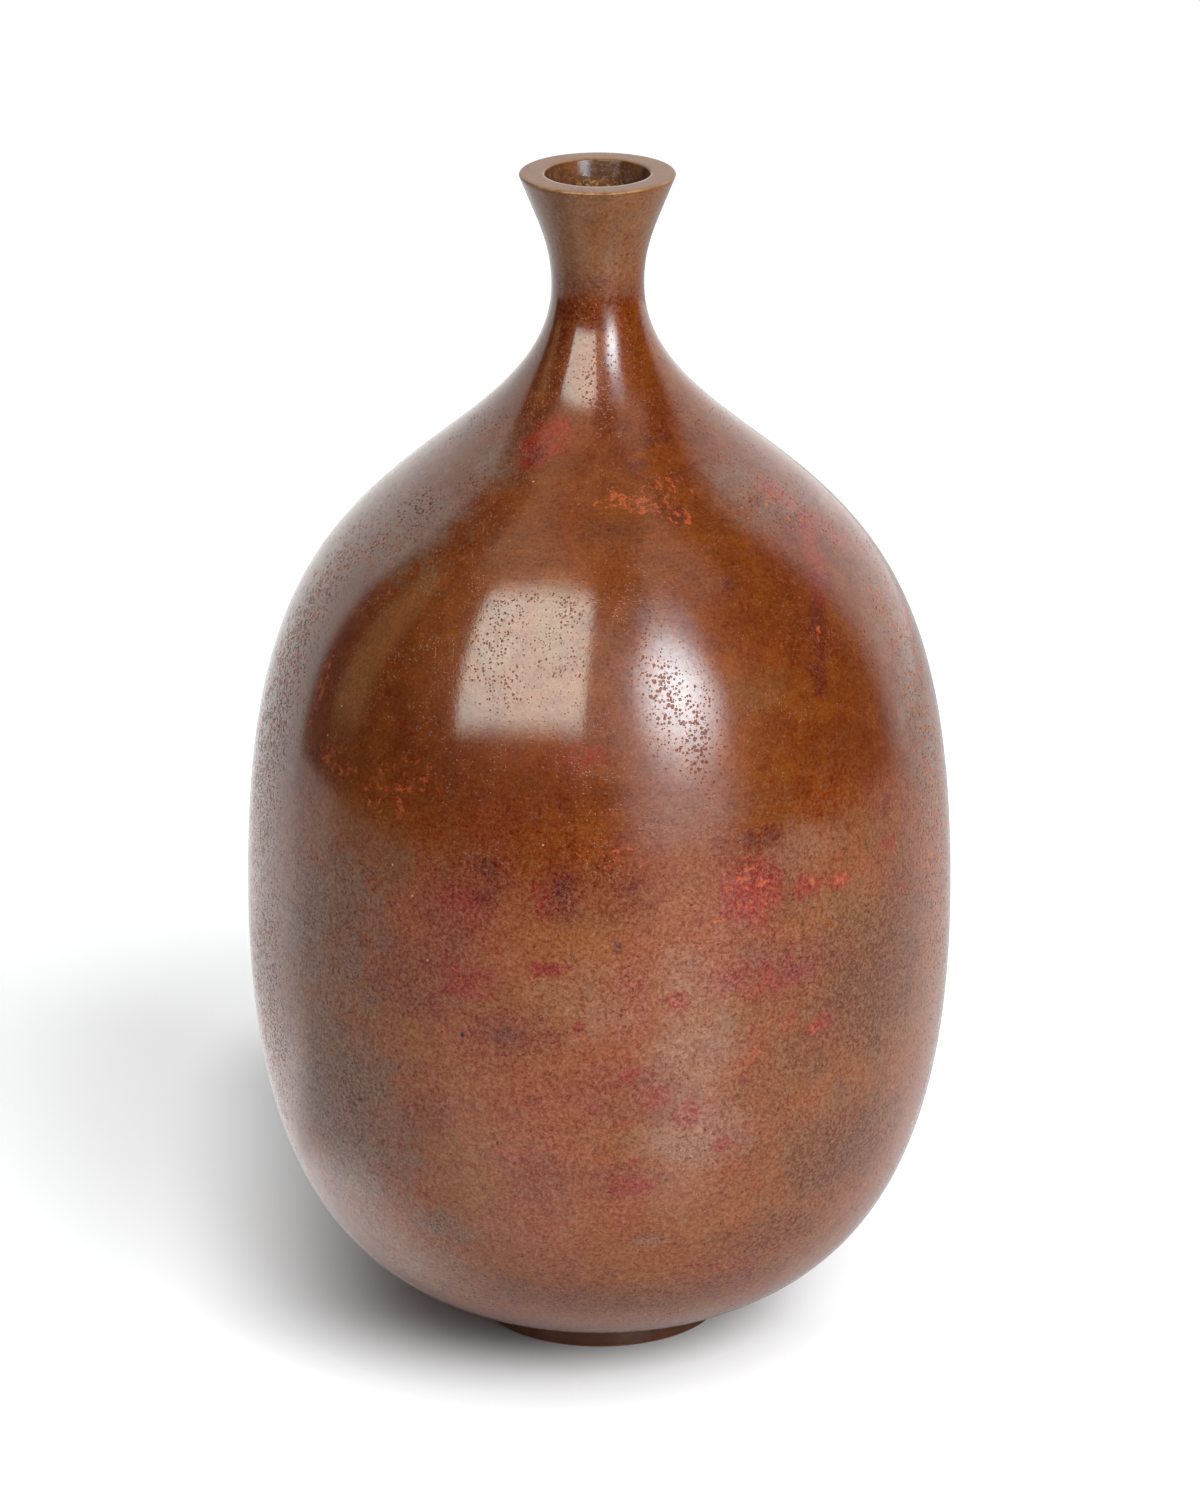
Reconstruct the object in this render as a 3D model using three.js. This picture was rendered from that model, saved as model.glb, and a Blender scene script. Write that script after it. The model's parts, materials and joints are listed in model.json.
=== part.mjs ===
import * as THREE from "three";

// A cast-bronze bottle vase, in millimetres, +Z up. It stands on the XY plane and every piece
// is turned about the Z axis. Heights are measured up from the floor it stands on.

// Outside of the cast body
const totalHeight = 270;
const bellyDiameter = 159.8;
const bellyHeight = 100;
const shoulderDiameter = 88;
const shoulderHeight = 201.4;
const waistDiameter = 20.6;
const waistHeight = 244.5;
const mouthDiameter = 34.6;

// Slopes of the outline: up from level under the belly and on the shoulder,
// and out from upright at the mouth
const underbellySlope = 16.6;
const shoulderSlope = 40.5;
const mouthFlare = 21.2;

// How far each curve holds its direction at its two ends, as a share of its chord
const underbellyFullness = [0.248, 0.658];
const bellyFullness = [0.588, 0.276];
const shoulderFullness = [0.356, 0.337];
const mouthFullness = [0.367, 0.473];

// Casting wall, bore and lip
const wall = 3.2;
const boreDiameter = 23.2;
const boreFlare = 8;
const boreFullness = [0.4, 0.3];
const lipChamfer = 0.35;

// Foot ring, and the turned seat under the body that it locates in
const footDiameter = 56.4;
const footHeight = 4.6;
const footChamfer = 0.4;
const seatWidth = 3.2;
const ringWeb = 2.1;
const ledgeWidth = 2.1;
const leadChamfer = 0.5;

// Base plate, let into the foot ring from below
const plateThickness = 1.8;
const plateRecess = 2;
const plateChamfer = 0.3;

// Fillets of brazing metal that hold the ring and the plate
const ringFilletLeg = 1.8;
const plateFilletLeg = 0.9;
const filletHollow = 0.3;

// Clearance between pieces that seat on each other
const fitGap = 0.3;

// Smoothness: steps along each curve and round each turned piece
const outerSteps = [12, 12, 10, 7];
const innerSteps = [9, 9, 7, 5];
const filletSteps = 4;
const turnSteps = 64;
const samePoint = 0.01;

// Radii that the pieces share, worked inwards from the foot
const footRadius = footDiameter / 2;
const openingRadius = footRadius - seatWidth;
const spigotRadius = openingRadius - fitGap;
const rebateRadius = spigotRadius - ringWeb;
const ledgeRadius = rebateRadius - ledgeWidth;
const plateRadius = rebateRadius - fitGap;

function point(radius, height) {
  return new THREE.Vector2(radius, height);
}

// A unit direction, turned anticlockwise from outwards, in degrees
function direction(degrees) {
  const angle = THREE.MathUtils.degToRad(degrees);
  return point(Math.cos(angle), Math.sin(angle));
}

const up = direction(90);

// A curve between two stations of the outline that leaves and arrives in given directions
function flow(start, startDirection, end, endDirection, fullness) {
  const chord = start.distanceTo(end);
  const leave = start.clone().addScaledVector(startDirection, fullness[0] * chord);
  const arrive = end.clone().addScaledVector(endDirection, -fullness[1] * chord);
  return new THREE.CubicBezierCurve(start, leave, arrive, end);
}

// The point of the casting's inside that lies one wall in from a place on an outer curve
function insideAt(curve, place) {
  const along = curve.getTangent(place);
  const inward = point(-along.y, along.x);
  return curve.getPoint(place).addScaledVector(inward, wall);
}

// The inside of the casting behind one outer curve, from its top to its bottom
function insideOf(curve, steps) {
  return Array.from({ length: steps + 1 }, (_, step) => insideAt(curve, 1 - step / steps));
}

// Stations where the outline's direction is known
const footJoint = point(footRadius, footHeight);
const belly = point(bellyDiameter / 2, bellyHeight);
const shoulder = point(shoulderDiameter / 2, shoulderHeight);
const waist = point(waistDiameter / 2, waistHeight);
const mouth = point(mouthDiameter / 2, totalHeight - lipChamfer);

const underbellyDirection = direction(underbellySlope);
const shoulderDirection = direction(180 - shoulderSlope);
const mouthDirection = direction(90 - mouthFlare);

const outerCurves = [
  flow(footJoint, underbellyDirection, belly, up, underbellyFullness),
  flow(belly, up, shoulder, shoulderDirection, bellyFullness),
  flow(shoulder, shoulderDirection, waist, up, shoulderFullness),
  flow(waist, up, mouth, mouthDirection, mouthFullness),
];

// The bore runs from the thick flat lip down to the wall's own thickness at the waist
const boreTop = point(boreDiameter / 2, totalHeight - lipChamfer);
const boreWaist = point(waistDiameter / 2 - wall, waistHeight);
const boreCurve = flow(boreWaist, up, boreTop, direction(90 - boreFlare), boreFullness);

// Height of the casting's sloping inner floor at a radius close to the foot
const floorCorner = insideAt(outerCurves[0], 0);
const floorRise = underbellyDirection.y / underbellyDirection.x;

function innerFloor(radius) {
  return floorCorner.y + (radius - floorCorner.x) * floorRise;
}

// Where two curves meet, their shared point is kept once
function withoutRepeats(points) {
  return points.filter((each, index) => index === 0 || each.distanceTo(points[index - 1]) > samePoint);
}

// Turns an outline, given anticlockwise. A ring's outline is joined back to its first point,
// and a disc's starts and ends on the axis.
function turned(name, outline, material) {
  const isRing = outline[0].x > 0;
  const closed = isRing ? [...outline, outline[0].clone()] : outline;
  const geometry = new THREE.LatheGeometry(withoutRepeats(closed), turnSteps);
  geometry.rotateX(Math.PI / 2);
  const mesh = new THREE.Mesh(geometry, material);
  mesh.name = name;
  return mesh;
}

function finish(color, metalness, roughness) {
  return new THREE.MeshStandardMaterial({ color, metalness, roughness });
}

const patinatedBronze = finish(0x8a5432, 0.85, 0.36);
const turnedBronze = finish(0x6b3c20, 0.85, 0.42);
const plateBronze = finish(0x7a4a2c, 0.8, 0.5);
const brazingMetal = finish(0x8f6a36, 0.8, 0.55);

// Belly, shoulder, neck and lip in one casting, open at the mouth and at the foot,
// where a level seat and a round opening are turned for the foot ring
function bodyShell() {
  const outside = outerCurves.flatMap((curve, index) => curve.getPoints(outerSteps[index]));
  const lip = [
    point(mouth.x - lipChamfer, totalHeight),
    point(boreTop.x + lipChamfer, totalHeight),
  ];
  const bore = boreCurve.getPoints(innerSteps[3]).reverse();
  const inside = [2, 1, 0].flatMap((index) => insideOf(outerCurves[index], innerSteps[index]));
  const opening = [
    point(openingRadius, innerFloor(openingRadius)),
    point(openingRadius, footHeight + leadChamfer),
    point(openingRadius + leadChamfer, footHeight),
  ];
  return turned("body_shell", [...outside, ...lip, ...bore, ...inside, ...opening], patinatedBronze);
}

// Top of the fillet that runs round the spigot, on the casting's inner floor
const floorFilletBase = innerFloor(openingRadius) + fitGap / underbellyDirection.x;
const spigotTop = floorFilletBase + ringFilletLeg + leadChamfer;
const ledgeHeight = plateRecess + plateThickness + fitGap;

// Low turned ring that the vase stands on: a band outside, a spigot that fits the body's
// opening, and a rebate below with a ledge for the base plate
function footRing() {
  const seat = footHeight - fitGap;
  return turned("foot_ring", [
    point(rebateRadius, footChamfer),
    point(rebateRadius + footChamfer, 0),
    point(footRadius - footChamfer, 0),
    point(footRadius, footChamfer),
    point(footRadius, seat),
    point(spigotRadius, seat),
    point(spigotRadius, spigotTop - leadChamfer),
    point(spigotRadius - leadChamfer, spigotTop),
    point(ledgeRadius, spigotTop),
    point(ledgeRadius, ledgeHeight),
    point(rebateRadius, ledgeHeight),
  ], turnedBronze);
}

// Round plate that closes the core opening, set back from the floor
function basePlate() {
  const top = plateRecess + plateThickness;
  return turned("base_plate", [
    point(0, plateRecess),
    point(plateRadius - plateChamfer, plateRecess),
    point(plateRadius, plateRecess + plateChamfer),
    point(plateRadius, top - plateChamfer),
    point(plateRadius - plateChamfer, top),
    point(0, top),
  ], plateBronze);
}

// Hollow-faced fillet in the corner between the spigot and the casting's inner floor
function ringFillet() {
  const corner = point(openingRadius, floorFilletBase);
  const top = point(corner.x, corner.y + ringFilletLeg);
  const toe = point(corner.x + ringFilletLeg, corner.y + ringFilletLeg * floorRise);
  const hollow = corner.clone().lerp(top.clone().lerp(toe, 0.5), filletHollow);
  const face = new THREE.QuadraticBezierCurve(toe, hollow, top);
  return turned("foot_braze", [corner, ...face.getPoints(filletSteps)], brazingMetal);
}

// The same kind of fillet under the base plate, against the wall of its rebate
function plateFillet() {
  const corner = point(plateRadius, plateRecess - fitGap);
  const toe = point(corner.x - plateFilletLeg, corner.y);
  const foot = point(corner.x, corner.y - plateFilletLeg);
  const hollow = corner.clone().lerp(toe.clone().lerp(foot, 0.5), filletHollow);
  const face = new THREE.QuadraticBezierCurve(toe, hollow, foot);
  return turned("plate_braze", [corner, ...face.getPoints(filletSteps)], brazingMetal);
}

const vase = new THREE.Group();
vase.name = "bronze_vase";
vase.add(bodyShell(), footRing(), basePlate(), ringFillet(), plateFillet());

export default vase;
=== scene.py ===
# %% [markdown]
# # A cast-bronze bottle vase
# This lesson dresses a finished CAD model of a bronze vase in Blender. The vase is a hollow
# casting that was turned, polished and patinated, and it stands on a separate turned foot ring.
# The CAD model fixes every size. What is added here is the smooth skin, the red-brown patina
# with its pits and stains, the photographer's table and two soft lights.

# %% Load the CAD model
import json
import math

import bpy
import numpy as np
from mathutils import Matrix, Vector

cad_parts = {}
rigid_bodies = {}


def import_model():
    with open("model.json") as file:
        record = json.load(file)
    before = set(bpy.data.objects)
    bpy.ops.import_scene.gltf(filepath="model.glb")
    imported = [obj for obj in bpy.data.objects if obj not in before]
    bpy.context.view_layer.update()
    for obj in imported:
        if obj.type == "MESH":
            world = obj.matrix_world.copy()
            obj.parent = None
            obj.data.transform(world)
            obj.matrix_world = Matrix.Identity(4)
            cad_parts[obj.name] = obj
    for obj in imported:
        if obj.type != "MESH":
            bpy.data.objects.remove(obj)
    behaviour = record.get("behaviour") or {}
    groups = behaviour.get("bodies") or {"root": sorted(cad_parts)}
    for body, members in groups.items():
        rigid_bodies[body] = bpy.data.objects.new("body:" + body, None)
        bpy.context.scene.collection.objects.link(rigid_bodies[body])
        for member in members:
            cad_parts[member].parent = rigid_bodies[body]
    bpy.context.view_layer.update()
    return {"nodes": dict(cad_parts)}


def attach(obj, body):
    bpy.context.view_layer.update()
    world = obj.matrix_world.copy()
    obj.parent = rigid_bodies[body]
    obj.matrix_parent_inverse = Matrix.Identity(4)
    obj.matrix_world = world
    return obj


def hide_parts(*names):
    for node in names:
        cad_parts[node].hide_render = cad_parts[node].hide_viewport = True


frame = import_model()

# %% [markdown]
# ## Reading a section from a turned piece
# A turned piece is one outline spun round an axis, so all of its shape is in that outline. The
# CAD mesh is made of flat facets. One could smooth it with a subdivision modifier, but that
# would shrink it and soften its crisp edges. Instead the outline is read back from the mesh
# edges that lie in one upright plane, made smooth there, and spun again with finer steps.

# %% Walk the outline of a node
FRONT = -math.pi / 2
SAME_PLACE = 1e-6
SAME_ANGLE = 1e-3
DECIMALS = 6


def section_of(name):
    """The outline of a turned CAD piece as (radius, height) rows, and whether it closes on itself."""
    mesh = frame["nodes"][name].data
    places = np.array([vertex.co for vertex in mesh.vertices])
    radius = np.hypot(places[:, 0], places[:, 1])
    in_plane = np.abs(np.arctan2(places[:, 1], places[:, 0]) - FRONT) < SAME_ANGLE
    in_plane |= radius < SAME_PLACE
    keys = [tuple(np.round(row, DECIMALS)) for row in np.column_stack([radius, places[:, 2]])]
    joined = {}
    for edge in mesh.edges:
        first, second = edge.vertices
        if in_plane[first] and in_plane[second] and keys[first] != keys[second]:
            joined.setdefault(keys[first], set()).add(keys[second])
            joined.setdefault(keys[second], set()).add(keys[first])
    ends = sorted(key for key, others in joined.items() if len(others) == 1)
    start = ends[0] if ends else min(joined, key=lambda key: (key[1], -key[0]))
    walk = [start]
    ahead = max(joined[start])
    while ahead != start:
        walk.append(ahead)
        onward = [key for key in joined[ahead] if key != walk[-2]]
        if not onward:
            break
        ahead = onward[0]
    return np.array(walk), not ends


for name in sorted(frame["nodes"]):
    outline, closed = section_of(name)
    print(name, len(outline), "points,", "a ring" if closed else "a disc")

# %% [markdown]
# ## Making the outline smooth again
# Between two sharp corners the real outline is one flowing line, as the turner's template was.
# A cubic spline through the CAD points gives that line back, with no jump in its curvature,
# which matters here because a polished surface shows each jump as a kink in its reflections.
# Corners stay, but a real edge is never perfectly sharp, so each gets a very small round.

# %% Spline through the points between two corners
CORNER = math.radians(17)


def spline(points, spacing):
    """Points a given spacing apart on the natural cubic spline through some points."""
    if len(points) == 2:
        count = max(1, round(np.linalg.norm(points[1] - points[0]) / spacing))
        return points[0] + np.linspace(0, 1, count + 1)[:, None] * (points[1] - points[0])
    gaps = np.linalg.norm(np.diff(points, axis=0), axis=1)
    along = np.concatenate([[0], np.cumsum(gaps)])
    count = len(points)
    system, wanted = np.eye(count), np.zeros((count, 2))
    for row in range(1, count - 1):
        before, after = gaps[row - 1], gaps[row]
        system[row, row - 1 : row + 2] = before, 2 * (before + after), after
        slope_after = (points[row + 1] - points[row]) / after
        slope_before = (points[row] - points[row - 1]) / before
        wanted[row] = 6 * (slope_after - slope_before)
    bend = np.linalg.solve(system, wanted)
    stops = np.linspace(0, along[-1], max(2, round(along[-1] / spacing)) + 1)
    part = np.clip(np.searchsorted(along, stops, side="right") - 1, 0, count - 2)
    gap = gaps[part][:, None]
    right = (stops - along[part])[:, None] / gap
    left = 1 - right
    curve = left * points[part] + right * points[part + 1]
    curve += gap**2 / 6 * ((left**3 - left) * bend[part] + (right**3 - right) * bend[part + 1])
    curve[0], curve[-1] = points[0], points[-1]
    return curve


def turning(points, index):
    """How sharply an outline turns at one of its points."""
    count = len(points)
    arriving = points[index] - points[(index - 1) % count]
    leaving = points[(index + 1) % count] - points[index]
    cross = arriving[0] * leaving[1] - arriving[1] * leaving[0]
    return abs(math.atan2(cross, arriving @ leaving))


print("a spline through 3 points gives", len(spline(np.array([[0, 0], [1, 1], [2, 0.0]]), 0.1)))

# %% Round the corners and join the runs
EASED_STEPS = 3
LONGEST_SETBACK = 0.4


def eased(before, corner, after, radius):
    """A small arc in place of a sharp corner, as points."""
    to_before = (before - corner) / np.linalg.norm(before - corner)
    to_after = (after - corner) / np.linalg.norm(after - corner)
    half = math.acos(np.clip(to_before @ to_after, -1, 1)) / 2
    room = min(np.linalg.norm(before - corner), np.linalg.norm(after - corner))
    setback = min(radius / math.tan(half), LONGEST_SETBACK * room)
    ends = corner + setback * to_before, corner + setback * to_after
    share = np.linspace(0, 1, EASED_STEPS + 1)[:, None]
    return (1 - share) ** 2 * ends[0] + 2 * share * (1 - share) * corner + share**2 * ends[1]


def faired(outline, closed, spacings, radius):
    """The outline with smooth runs and eased corners. Runs take the spacings in turn."""
    count = len(outline)
    sharp = [i for i in range(count) if turning(outline, i) > CORNER]
    if not closed:
        sharp = sorted({0, count - 1, *sharp})
    pairs = list(zip(sharp, sharp[1:] + ([sharp[0] + count] if closed else [])))
    runs = []
    for turn, (start, stop) in enumerate(pairs):
        points = outline[np.arange(start, stop + 1) % count]
        runs.append(spline(points, spacings[min(turn, len(spacings) - 1)]))
    smooth, labels = [], []
    for turn, run in enumerate(runs):
        inner = run[1:-1]
        following = runs[(turn + 1) % len(runs)]
        last = not closed and turn == len(runs) - 1
        if turn == 0 and not closed:
            smooth.append(run[:1])
        smooth.append(inner)
        smooth.append(run[-1:] if last else eased(run[-2], run[-1], following[1], radius))
        labels += [turn] * (sum(map(len, smooth)) - len(labels))
    return np.concatenate(smooth), np.array(labels)


PIECE_SPACING = 0.001
PIECE_EDGE = 0.00015

outline, closed = section_of("foot_ring")
smooth, labels = faired(outline, closed, [PIECE_SPACING], PIECE_EDGE)
print("foot ring:", len(outline), "points become", len(smooth), "in", labels.max() + 1, "runs")

# %% [markdown]
# ## Spinning an outline
# Blender has a Screw modifier for this. Writing the mesh by hand is as short, and it keeps the
# order of the points, so that later steps can say which run of the outline a point belongs to.

# %% Turn an outline into a mesh
def turned(name, outline, closed, steps):
    """A mesh object made by spinning an outline round the upright axis."""
    angles = FRONT + np.arange(steps) * 2 * math.pi / steps
    on_axis = outline[:, 0] < SAME_PLACE
    rows, places = [], []
    for (radius, height), single in zip(outline, on_axis):
        first = sum(map(len, places))
        if single:
            places.append(np.array([[0, 0, height]]))
            rows.append(np.full(steps, first))
        else:
            ring = [radius * np.cos(angles), radius * np.sin(angles), np.full(steps, height)]
            places.append(np.column_stack(ring))
            rows.append(first + np.arange(steps))
    faces = []
    for lower in range(len(outline) if closed else len(outline) - 1):
        upper = (lower + 1) % len(outline)
        for step in range(steps):
            beside = (step + 1) % steps
            corners = [rows[lower][step], rows[lower][beside], rows[upper][beside], rows[upper][step]]
            faces.append(list(dict.fromkeys(corners)))
    mesh = bpy.data.meshes.new(name)
    mesh.from_pydata(np.concatenate(places), [], faces)
    mesh.polygons.foreach_set("use_smooth", np.ones(len(faces), bool))
    mesh.update()
    piece = bpy.data.objects.new(name, mesh)
    bpy.context.scene.collection.objects.link(piece)
    return piece


print("outlines are spun from", round(math.degrees(FRONT)), "degrees, the side that faces the camera")

# %% [markdown]
# ## The camera
# The picture was taken with a long lens from a little above, looking down at the belly. A long
# lens keeps the outline almost free of perspective. The vase leans a hair to the left in the
# frame, so the camera is rolled by as much.

# %% Set up the camera
CAMERA_BACK = 1.485
CAMERA_HEIGHT = 0.67173
LOOK_DOWN = math.radians(19.866)
ROLL = math.radians(0.148)
AIM_ASIDE = math.radians(0.0093)
LONG_SIDE_OF_FILM = 30.0
FOCAL_LENGTH = 139.69

camera = bpy.data.objects.new("camera", bpy.data.cameras.new("camera"))
camera.data.sensor_fit = "AUTO"
camera.data.sensor_width = LONG_SIDE_OF_FILM
camera.data.lens = FOCAL_LENGTH
camera.data.clip_start = 0.05
camera.data.clip_end = 50
tilt = Matrix.Rotation(math.pi / 2 - LOOK_DOWN, 4, "X")
aim = Matrix.Rotation(-AIM_ASIDE, 4, "Z") @ tilt @ Matrix.Rotation(-ROLL, 4, "Z")
camera.matrix_world = Matrix.Translation((0, -CAMERA_BACK, CAMERA_HEIGHT)) @ aim
bpy.context.scene.collection.objects.link(camera)
bpy.context.scene.camera = camera
bpy.context.scene.view_settings.view_transform = "Standard"
print("camera at", [round(x, 3) for x in camera.location])

# %% [markdown]
# ## A helper for shader nodes
# Every finish here is a small tree of nodes. One helper adds a node, fills its inputs with
# numbers or with the outputs of other nodes, and hands back one output, so that a recipe reads
# from top to bottom like a sum. The others are short names for the sums, ramps, colours and
# noises that the recipes use again and again.

# %% Add one node
def fill_inputs(tree, shader, inputs):
    """Sets inputs of a node to numbers and colours, or links them to outputs of other nodes."""
    for key, value in inputs.items():
        if isinstance(value, bpy.types.NodeSocket):
            tree.links.new(value, shader.inputs[key])
        else:
            shader.inputs[key].default_value = value


def node(tree, kind, inputs, output=0, **settings):
    """Adds a shader node, fills its inputs, and returns one of its outputs."""
    made = tree.nodes.new("ShaderNode" + kind)
    for name, value in settings.items():
        setattr(made, name, value)
    fill_inputs(tree, made, inputs)
    return made.outputs[output]


def maths(tree, operation, first, second=0.0, third=0.0):
    """One sum on one or two values."""
    return node(tree, "Math", {0: first, 1: second, 2: third}, operation=operation)


def product(tree, first, *others):
    """Values multiplied with each other."""
    for other in others:
        first = maths(tree, "MULTIPLY", first, other)
    return first


def largest(tree, first, *others):
    """The largest of some values."""
    for other in others:
        first = maths(tree, "MAXIMUM", first, other)
    return first


def scaled(tree, value, factor, added):
    """A value times a factor, plus another value."""
    return maths(tree, "MULTIPLY_ADD", value, factor, added)


def ramp(tree, value, low, high, start=0.0, end=1.0):
    """A smooth rise from start to end while value goes from low to high."""
    inputs = {"Value": value, "From Min": low, "From Max": high, "To Min": start, "To Max": end}
    return node(tree, "MapRange", inputs, interpolation_type="SMOOTHSTEP")


def blend(tree, share, under, over):
    """One colour laid over another by a share from 0 to 1."""
    return node(tree, "Mix", {0: share, 6: under, 7: over}, output=2, data_type="RGBA")


def colour(red, green, blue):
    """A colour written as on a paint card, 0 to 255, as the linear values that nodes take."""
    shares = [value / 255 for value in (red, green, blue)]
    return (*[v / 12.92 if v < 0.04 else ((v + 0.055) / 1.055) ** 2.4 for v in shares], 1)


def shaded(tree, colour_in, factor):
    """A colour made lighter or darker by a factor."""
    return node(tree, "VectorMath", {0: colour_in, "Scale": factor}, operation="SCALE")


def coordinates(tree, place):
    """The three numbers of a place."""
    parts = tree.nodes.new("ShaderNodeSeparateXYZ")
    tree.links.new(place, parts.inputs[0])
    return parts.outputs


def noise(tree, place, size, detail=2.0, roughness=0.5, distortion=0.0):
    """Cloudy noise from 0 to 1 whose lumps have about this size in millimetres."""
    inputs = {"Vector": place, "Scale": 1000 / size, "Detail": detail}
    inputs |= {"Roughness": roughness, "Distortion": distortion}
    return node(tree, "TexNoise", inputs)


def bumped(tree, height, strength, distance):
    """The surface's direction with a relief pressed into it, up to a distance in metres deep."""
    return node(tree, "Bump", {"Strength": strength, "Distance": distance, "Height": height})


def off_axis(tree, place):
    """How far a place is from the upright axis, in metres."""
    right, away, _ = coordinates(tree, place)
    return maths(tree, "SQRT", scaled(tree, right, right, product(tree, away, away)))


def off_line(tree, place, start, end):
    """How far a place is from a straight line between two points, in metres."""
    start, along = Vector(start), Vector(end) - Vector(start)
    reach = node(tree, "VectorMath", {0: place, 1: tuple(start)}, operation="SUBTRACT")
    share = {0: reach, 1: tuple(along / along.length_squared)}
    share = node(tree, "VectorMath", share, output="Value", operation="DOT_PRODUCT")
    share = maths(tree, "MINIMUM", largest(tree, share, 0.0), 1.0)
    beside = node(tree, "VectorMath", {0: tuple(along), "Scale": share}, operation="SCALE")
    return node(tree, "VectorMath", {0: reach, 1: beside}, output="Value", operation="DISTANCE")


def new_finish(name):
    """An empty material with its shader, and the place on the piece as a socket."""
    material = bpy.data.materials.new(name)
    material.use_nodes = True
    tree = material.node_tree
    return material, tree, tree.nodes["Principled BSDF"], node(tree, "TexCoord", {}, output="Object")


print("the brown 128, 61, 22 is", [round(value, 3) for value in colour(128, 61, 22)], "to a node")

# %% [markdown]
# ## The table
# The vase stands on a round white table. Its polished skin mirrors that table, so the table's edge shows as
# the line where the lower belly turns pale. At the sides that line is crisp, and in front it is soft,
# because there the light on the table falls off. That falloff is painted shade: the paint darkens towards
# the front edge, which lies out of view, and a little at the right, and round the foot it darkens as a
# painted shadow. Only mirrors and bounced light see that shaded paint. The camera sees a darker paint
# still, which deepens the soft shadow. The lamps alone would leave the table grey, so it also glows: for
# the camera wherever the soft shadow doesn't lie, and for the polish behind the vase and at its left.

# %% Mix the table's paint and glow
WHITE = (1, 1, 1, 1)
TABLE_GLOSS = 0.5
TABLE_ROUGHNESS = 0.25
TABLE_PAINT = (0.87, 0.88, 0.885, 1)
# Painted shade: the table darkens to this grey, and the camera sees a darker paint that deepens the shadow
PAINTED_SHADE_GREY = (0.24, 0.24, 0.24, 1)
CAMERA_SHADE_PAINT = (0.6, 0.62, 0.63, 1)
SHADOW_FROM = (-0.012, 0.006, 0)
SHADOW_TO = (-0.018, 0.125, 0)

# Ramps: where each starts and ends, in metres, and its values there unless they are 0 and 1
# The next three ramps paint shade: towards the front, at the right, and a shadow round the foot
SHADE_IN_FRONT = (-0.12, -0.98)
SHADE_AT_RIGHT = (0.15, 0.7, 0.0, 0.35)
SHADE_AT_FOOT = (0.14, 0.03, 0.0, 0.4)
SHADOW_HEART = (0.028, 0.093, 0.0, 0.68)
SHADOW_HEM = (0.1, 0.16, 0.0, 0.1)
LIT_AT_RIGHT = (0.02, 0.06, 0.0, 0.5)
FAR_BEHIND = (-0.05, 0.15)
FADES_TO_RIGHT = (-0.1, 0.15, 0.55, 0.05)
CLOSE_TO_VASE = (0.15, 0.1)
NOT_IN_FRONT = (-0.08, -0.03)
JUST_BEHIND = (0.0, 0.06)
REACH_AT_LEFT = (0.34, 0.16, 0.0, 1.15)
LEFT_OF_VASE = (-0.02, -0.06)


def table_glow(tree, place, path):
    """Light that the table adds for the camera, outside the shadow, and for the polish."""
    right, away, _ = coordinates(tree, place)
    reach = off_axis(tree, place)
    # The glow is left out along a line from the foot to the back left, which paints the shadow's shape
    off_shadow = off_line(tree, place, SHADOW_FROM, SHADOW_TO)
    heart = ramp(tree, off_shadow, *SHADOW_HEART)
    lift = maths(tree, "ADD", heart, ramp(tree, off_shadow, *SHADOW_HEM))
    lift = largest(tree, lift, ramp(tree, right, *LIT_AT_RIGHT))
    behind = product(tree, ramp(tree, away, *FAR_BEHIND), ramp(tree, right, *FADES_TO_RIGHT))
    near = product(tree, ramp(tree, reach, *CLOSE_TO_VASE), ramp(tree, away, *NOT_IN_FRONT))
    near = largest(tree, near, ramp(tree, away, *JUST_BEHIND))
    at_left = product(tree, ramp(tree, reach, *REACH_AT_LEFT), ramp(tree, right, *LEFT_OF_VASE))
    beside = product(tree, at_left, near, lift)
    seen = product(tree, lift, path.outputs["Is Camera Ray"])
    mirrored = product(tree, largest(tree, behind, beside), path.outputs["Is Glossy Ray"])
    return maths(tree, "ADD", seen, mirrored)


def shaded_table_paint():
    """White paint with painted shade: grey in front, at the right and round the foot, and darker for the
    camera.
    """
    material, tree, surface, place = new_finish("shaded_table_paint")
    path = tree.nodes.new("ShaderNodeLightPath")
    right, away, _ = coordinates(tree, place)
    # Painted shade in front, at the right and round the foot, seen by mirrors and bounced light; the camera
    # sees the darker paint
    shade_at_foot = ramp(tree, off_axis(tree, place), *SHADE_AT_FOOT)
    beside = largest(tree, ramp(tree, right, *SHADE_AT_RIGHT), shade_at_foot)
    painted_shade = largest(tree, ramp(tree, away, *SHADE_IN_FRONT), beside)
    shaded_paint = blend(tree, painted_shade, TABLE_PAINT, PAINTED_SHADE_GREY)
    fill_inputs(tree, surface, {
        "Base Color": blend(tree, path.outputs["Is Camera Ray"], shaded_paint, CAMERA_SHADE_PAINT),
        "Specular IOR Level": product(tree, path.outputs["Is Glossy Ray"], TABLE_GLOSS),
        "Roughness": TABLE_ROUGHNESS,
        "Emission Color": WHITE,
        "Emission Strength": table_glow(tree, place, path),
    })
    return material


shaded_paint = shaded_table_paint()
print("table paint:", len(shaded_paint.node_tree.nodes), "nodes")

# %% Build the table
TABLE_RADIUS = 1.12
TABLE_STEPS = 256

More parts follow.
